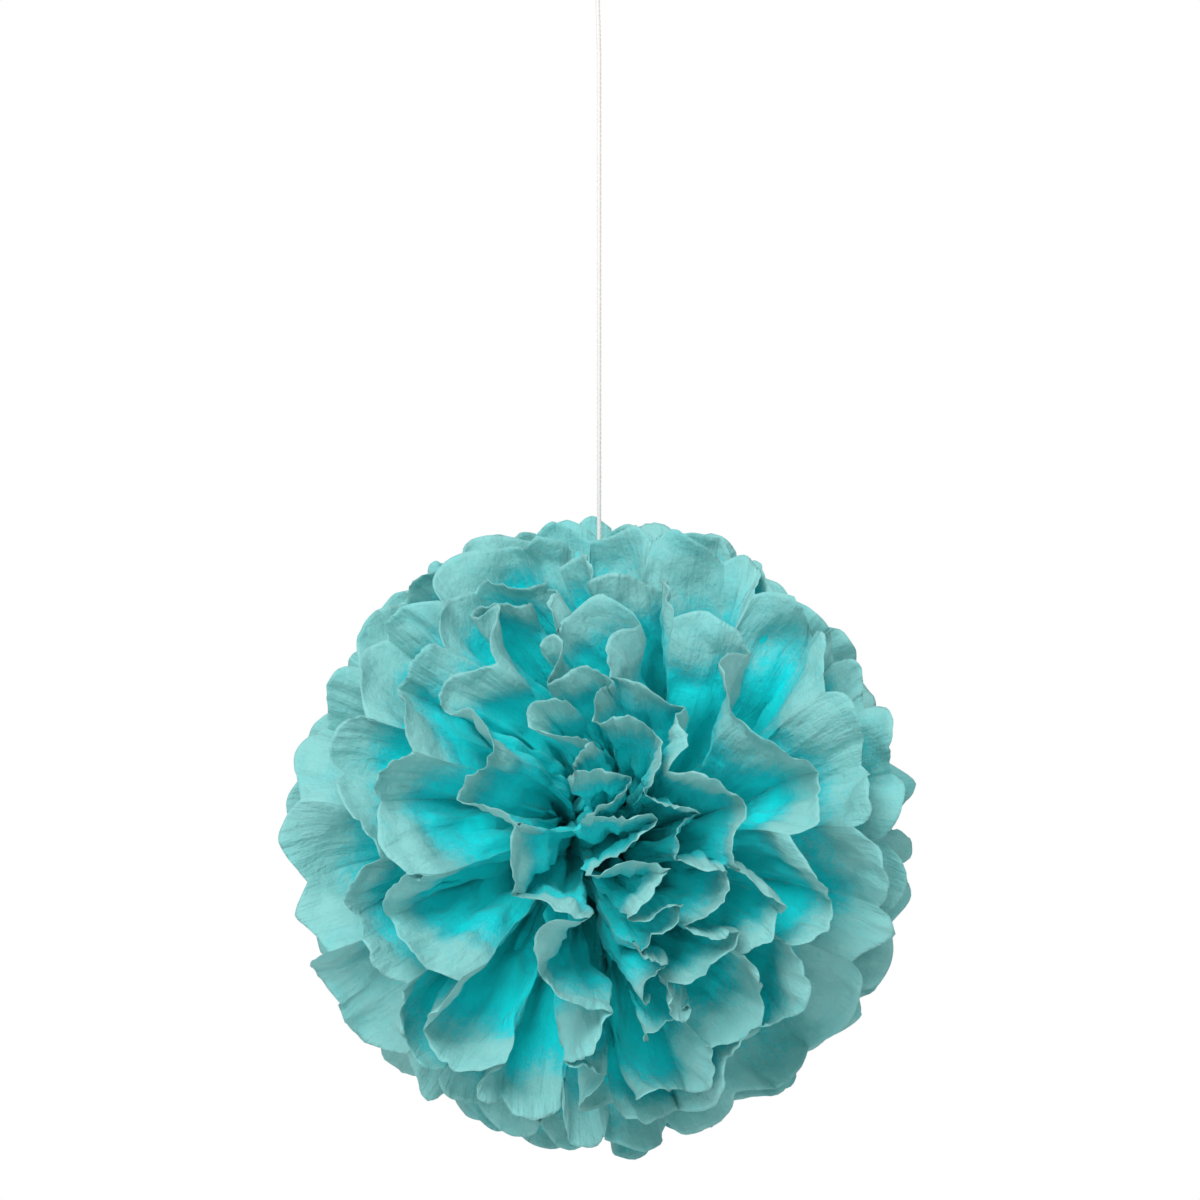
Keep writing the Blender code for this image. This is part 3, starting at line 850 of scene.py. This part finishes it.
def crumple_tree():
    """Dents, sharp bends and gathers, as handling leaves them in the paper."""
    tree = Shape("crumple", "Height", "Scale", "Seed")
    seed = tree.input("Seed")
    dents = tree.node("ShaderNodeTexNoise", {"noise_dimensions": "4D"}, {
        "Scale": tree.input("Scale"), "W": seed, "Detail": 2.5, "Roughness": 0.5})
    facets = tree.node("ShaderNodeTexVoronoi", {"voronoi_dimensions": "4D"}, {
        "Scale": tree.input("Scale") * FACET_SCALE, "W": seed})
    strip = tree.node("ShaderNodeCombineXYZ", {}, {
        "X": tree.number("pleat"), "Y": tree.number("below_rim") * GATHER_LENGTHS,
        "Z": seed})
    gathers = tree.node("ShaderNodeTexNoise", {}, {
        "Vector": strip, "Scale": GATHER_SCALE, "Detail": 1.0, "Roughness": 0.5})
    form = ((dents - 0.5) * DENT_SHARE + (facets - 0.4)
            + ((gathers - 0.5).size() - 0.1) * GATHER_SHARE)
    height = form * tree.input("Height") * tree.number("free")
    tree.finish(tree.pushed(tree.input("Geometry"), height), tree.input("Material"))
    return tree


def tissue_mesh(name, sheet, paper):
    """One sheet as a single surface, from the rim of its left fan to that of its right."""
    columns = PLEAT_COUNT * paper.cells + 1
    halves = {side: Fan(sheet, side, paper).grid(columns, paper.rows) for side in SIDES}
    left = [part[::-1] for part in halves[-1]]
    right = [part[1:] for part in halves[1]]
    points, pleats, reaches = (np.concatenate(pair) for pair in zip(left, right))
    rows = points.shape[0]
    rims = np.stack((reaches[0], reaches[-1]))
    below = np.where((np.arange(rows) < paper.rows)[:, None], rims[0], rims[1]) - reaches
    faces = []
    for i in range(rows - 1):
        for j in range(columns - 1):
            a = i * columns + j
            faces.append((a, a + 1, a + columns + 1, a + columns))
    mesh = bpy.data.meshes.new(name)
    mesh.from_pydata(points.reshape(-1, 3).tolist(), [], faces)
    mesh.update(calc_edges=True)
    ends = np.empty(len(mesh.edges) * 2, np.int32)
    mesh.edges.foreach_get("vertices", ends)
    ends = ends.reshape(-1, 2) % columns
    sharp = (ends[:, 0] == ends[:, 1]) & (ends[:, 0] % paper.cells == 0)
    made = mesh.attributes.new("sharp_edge", "BOOLEAN", "EDGE")
    made.data.foreach_set("value", sharp)
    free = smooth((reaches - 0.02) / 0.06)
    for label, values in (("pleat", pleats), ("below_rim", below), ("free", free)):
        keep_number(mesh, label, values)
    mesh.update()
    return mesh


def keep_number(mesh, label, values):
    """Keeps a number for each vertex on the mesh."""
    made = mesh.attributes.new(label, "FLOAT", "POINT")
    made.data.foreach_set("value", values.astype(np.float32).ravel())


def vectors(items, field):
    """A vector of each of a mesh's items, as an array."""
    values = np.empty(len(items) * 3, np.float32)
    items.foreach_get(field, values)
    return values.reshape(-1, 3).astype(float)


def even_directions(count):
    """Directions spread evenly over a sphere."""
    index = np.arange(count) + 0.5
    z = 1 - 2 * index / count
    around = math.pi * (1 + math.sqrt(5)) * index
    flat = np.sqrt(1 - z * z)
    return np.stack((flat * np.cos(around), flat * np.sin(around), z), axis=-1)


def openness(meshes, paper):
    """How open the air is on each side of the paper, from 0 in a fold to 1 at a tip: a
    measure of shade by ray casting, by which the tissue's colour paints light and shade.
    """
    corners, faces, start = [], [], 0
    for mesh in meshes:
        corners += vectors(mesh.vertices, "co").tolist()
        faces += [[start + index for index in face.vertices] for face in mesh.polygons]
        start += len(mesh.vertices)
    air = BVHTree.FromPolygons(corners, faces)
    rays = even_directions(RAY_COUNT)
    centre = np.array((0.0, 0.0, -paper.ball_drop))
    columns = PLEAT_COUNT * paper.cells + 1
    rows = 2 * paper.rows - 1
    some_rows = np.unique(np.append(np.arange(0, rows, RAY_SPACING), rows - 1))
    some_columns = np.arange(0, columns, RAY_SPACING)
    for mesh in meshes:
        places = vectors(mesh.vertices, "co")
        normals = vectors(mesh.vertex_normals, "vector")
        found = np.empty(len(places))
        for first in range(0, len(places) - rows * columns + 1, rows * columns):
            index = first + np.arange(rows * columns).reshape(rows, columns)
            coarse = evened(np.array([
                [open_share(places[at], normals[at], centre, rays, air)
                 for at in index[row, some_columns]] for row in some_rows]))
            across = np.stack([np.interp(np.arange(columns), some_columns, line)
                               for line in coarse])
            found[index] = np.stack([np.interp(np.arange(rows), some_rows, line)
                                     for line in across.T], axis=-1)
        keep_number(mesh, "openness", found)


def evened(values):
    """Numbers on a sheet, each averaged with those next to it."""
    for axis in (0, 0, 1):
        first, last = values.take([0], axis), values.take([-1], axis)
        wide = np.concatenate((first, values, last), axis)
        count = values.shape[axis]
        before, after = (wide.take(range(k, k + count), axis) for k in (0, 2))
        values = values * 0.5 + (before + after) * 0.25
    return values


def open_share(place, normal, centre, rays, air):
    """The share of the air in front of a spot that is free, most of all outwards."""
    out = place - centre
    out /= max(np.linalg.norm(out), 1e-6)
    facing = rays @ normal
    weights = np.clip(facing, 0, 1) * (0.35 + np.clip(rays @ out, 0, 1))
    start = Vector(place + normal * 0.0006)
    free = total = 0.0
    for way, weight in zip(rays, weights):
        if weight > 0.05:
            hit = air.ray_cast(start, Vector(way), RAY_REACH)
            total += weight
            if hit[0] is None:
                free += weight
            else:
                free += weight * 0.5 * (hit[3] / RAY_REACH) ** 1.5
    return free / max(total, 1e-6)


def spun(name, route, tree, values):
    """A cord along a route, made by the strand tree."""
    data = bpy.data.curves.new(name, "CURVE")
    data.dimensions = "3D"
    spline = data.splines.new("POLY")
    spline.points.add(len(route) - 1)
    for point, place in zip(spline.points, route):
        point.co = (*place, 1)
    curve = linked(name, data)
    tree.put_on(curve, values)
    return as_plain_mesh(curve)


def strand_tree():
    """A cord of twisted strands along a curve."""
    tree = Shape("twisted_strands", "Radius", "Pitch", "Groove", "Spacing")
    path = tree.node("GeometryNodeResampleCurve", {"mode": "LENGTH"},
                     {"Curve": tree.input("Geometry"), "Length": tree.input("Spacing")})
    path, along = tree.kept(path, "Along", "GeometryNodeSplineParameter", "Length")
    ring = tree.node("GeometryNodeCurvePrimitiveCircle", {"mode": "RADIUS"},
                     {"Resolution": RING_POINTS, "Radius": tree.input("Radius")})
    ring, around = tree.kept(ring, "Round", "GeometryNodeSplineParameter", "Factor")
    tube = tree.node("GeometryNodeCurveToMesh", {}, {
        "Curve": path, "Profile Curve": ring, "Fill Caps": True})
    angle = (around - along / tree.input("Pitch")) * (STRANDS * 2 * math.pi)
    height = (angle.cosine() - 1.0) * 0.5 * tree.input("Groove")
    soft = tree.node("GeometryNodeSetShadeSmooth", {}, {
        "Geometry": tree.pushed(tube, height)})
    tree.finish(soft, tree.input("Material"))
    return tree


def loop_route(cord):
    """The cord's way from the knot up round the hook and back, and out as a short end."""
    top = cord.radius
    inside = -cord.loop_length - cord.radius
    places = []
    for i in range(LOOP_STEPS + 1):
        angle = 2 * math.pi * i / LOOP_STEPS
        rise = (1 - math.cos(angle)) / 2
        across = cord.loop_width / 2 * math.sin(angle) * math.sqrt(rise) * 1.3
        start = cord.radius * math.copysign(1 - rise, math.pi - angle)
        places.append((across + start, 0.0, inside + (top - inside) * rise))
    return places


def knot_foot(cord):
    """The height of the foot of the loop's knot."""
    return -cord.loop_length - 2 * cord.radius * KNOT_TURNS


def hitch_top(cord, paper):
    """The height at which the cord leaves the hitch round the waist."""
    return -paper.ball_drop + WAIST_HALF_HEIGHT + 2 * FIT_GAP + 2 * cord.radius * KNOT_TURNS


class POMPOM_OT_stage(bpy.types.Operator):
    """Make the camera, the floor and the light"""
    bl_idname = "pompom.stage"
    bl_label = "Stage"

    def execute(self, context):
        stage = settings().stage
        eye = bpy.data.cameras.new("camera")
        eye.sensor_width = 36.0
        eye.lens = eye.sensor_width * stage.camera_distance / stage.framed_width
        camera = linked("camera", eye)
        camera.location = (stage.camera_side, -stage.camera_distance, stage.camera_height)
        camera.rotation_euler = (math.radians(90), 0, 0)
        context.scene.camera = camera

        mesh = bpy.data.meshes.new("floor")
        edge = bmesh.new()
        bmesh.ops.create_circle(edge, cap_ends=True, segments=96, radius=FLOOR_RADIUS)
        edge.to_mesh(mesh)
        edge.free()
        mesh.materials.append(studio_floor_finish())
        floor = linked("floor", mesh)
        floor.location = (0, 0, stage.floor_level)

        light = bpy.data.lights.new("lamp", "AREA")
        light.shape = "DISK"
        light.size = LAMP_SIZE
        light.energy = stage.lamp
        lamp = linked("lamp", light)
        lamp.location = LAMP_PLACE
        aim = Vector((0, 0, -settings().paper.ball_drop)) - lamp.location
        lamp.rotation_euler = aim.to_track_quat("-Z", "Y").to_euler()
        context.scene.world = studio_light(stage)
        context.scene.view_settings.view_transform = "Standard"
        return {"FINISHED"}


class POMPOM_OT_cord(bpy.types.Operator):
    """Make the cord from the hitch to the loop on the hook, with its knot"""
    bl_idname = "pompom.cord"
    bl_label = "Hanging cord"

    def execute(self, context):
        cord, paper = settings().cord, settings().paper
        cotton = cotton_finish("cotton", cord)
        tree = strand_tree()
        values = {"Radius": cord.radius + cord.strand_depth / 2, "Pitch": cord.strand_pitch,
                  "Groove": cord.strand_depth, "Spacing": 0.0011, "Material": cotton}
        low = hitch_top(cord, paper) + FIT_GAP
        foot = knot_foot(cord)
        rise = (foot - low) / RUN_STEPS
        route = [(0.0, 0.0, low + rise * i) for i in range(RUN_STEPS)]
        loop = loop_route(cord)
        route += loop if loop[0][0] < loop[-1][0] else loop[::-1]
        line = spun("cord", route, tree, values)
        knot = self.knot(cord, tree, values, foot)
        for piece in (line, knot):
            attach(piece, "root")
        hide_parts("hanging_cord")
        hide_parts("hanging_loop")
        return {"FINISHED"}

    @staticmethod
    def knot(cord, tree, values, foot):
        """The knot's turns of cord round the two strands, ending in the short end."""
        core = cord.knot_radius - cord.radius
        pitch = 2 * cord.radius
        steps = KNOT_STEPS * KNOT_TURNS
        route = []
        for i in range(steps + 1):
            angle = 2 * math.pi * i / KNOT_STEPS
            height = foot + cord.radius + pitch * (KNOT_TURNS - 1) * (1 - i / steps)
            route.append((core * math.cos(angle), core * math.sin(angle), height))
        down = Vector((0.3, 0.0, -1.0)).normalized()
        last = Vector(route[-1])
        for i in range(1, TAG_STEPS + 1):
            share = i / TAG_STEPS
            turn = Vector((0.0, 1.0, 0.0)).lerp(down, smooth(share * 1.6)).normalized()
            last = last + turn * cord.tag_length / TAG_STEPS
            route.append(tuple(last))
        return spun("loop_knot", route, tree, values)


class POMPOM_OT_fittings(bpy.types.Operator):
    """Finish the wire and the hitch at the waist"""
    bl_idname = "pompom.fittings"
    bl_label = "Waist tie and hitch"

    def execute(self, context):
        looks = {"waist_tie": wire_finish(),
                 "waist_hitch": cotton_finish("hitch_cotton", settings().cord)}
        for node, look in looks.items():
            piece = frame["nodes"][node]
            if piece.data.materials:
                for index in range(len(piece.data.materials)):
                    piece.data.materials[index] = look
            else:
                piece.data.materials.append(look)
        return {"FINISHED"}


class POMPOM_OT_tissue(bpy.types.Operator):
    """Make the tissue sheets"""
    bl_idname = "pompom.tissue"
    bl_label = "Tissue sheets"

    def execute(self, context):
        paper = settings().paper
        look = tissue_finish(paper)
        tree = crumple_tree()
        sheets = []
        for number, node in enumerate(SHEETS):
            name = node.replace("tissue_sheet", "tissue")
            piece = linked(name, tissue_mesh(name, number, paper))
            tree.put_on(piece, {"Height": paper.crumple, "Scale": paper.crumple_scale,
                                "Seed": float(number), "Material": look})
            wall = piece.modifiers.new("paper", "SOLIDIFY")
            wall.thickness = paper.paper
            wall.offset = 0.0
            sheets.append(as_plain_mesh(piece))
        for piece in sheets:
            face_outwards(piece.data)
            piece.data.shade_smooth()
        openness([piece.data for piece in sheets], paper)
        for piece, node in zip(sheets, SHEETS):
            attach(piece, "root")
            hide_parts(node)
        return {"FINISHED"}


def face_outwards(mesh):
    """Turns the faces of a closed thin solid outwards."""
    work = bmesh.new()
    work.from_mesh(mesh)
    if work.calc_volume(signed=True) < 0:
        bmesh.ops.reverse_faces(work, faces=work.faces)
    work.to_mesh(mesh)
    work.free()


class POMPOM_PT_panel(bpy.types.Panel):
    """Lists the pom pom's sizes and its pieces"""
    bl_idname = "POMPOM_PT_panel"
    bl_label = "Pom Pom"
    bl_space_type = "VIEW_3D"
    bl_region_type = "UI"
    bl_category = "Pom Pom"

    def draw(self, context):
        for group in (settings().paper, settings().cord, settings().stage):
            box = self.layout.box()
            for name in group.__annotations__:
                box.prop(group, name)
        for operator in OPERATORS:
            self.layout.operator(operator.bl_idname)


class PomPomSettings(bpy.types.PropertyGroup):
    """Everything that can be changed on the pom pom."""
    paper: PointerProperty(type=PaperSettings)
    cord: PointerProperty(type=CordSettings)
    stage: PointerProperty(type=StageSettings)


OPERATORS = (POMPOM_OT_stage, POMPOM_OT_cord, POMPOM_OT_fittings, POMPOM_OT_tissue)
CLASSES = (PaperSettings, CordSettings, StageSettings, PomPomSettings, *OPERATORS,
           POMPOM_PT_panel)


def register():
    for cls in CLASSES:
        bpy.utils.register_class(cls)
    bpy.types.Scene.pom_pom = PointerProperty(type=PomPomSettings)


def unregister():
    del bpy.types.Scene.pom_pom
    for cls in reversed(CLASSES):
        bpy.utils.unregister_class(cls)


def main():
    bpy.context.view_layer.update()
    register()
    bpy.ops.pompom.stage()
    bpy.ops.pompom.cord()
    bpy.ops.pompom.fittings()
    bpy.ops.pompom.tissue()


if __name__ == "__main__":
    main()
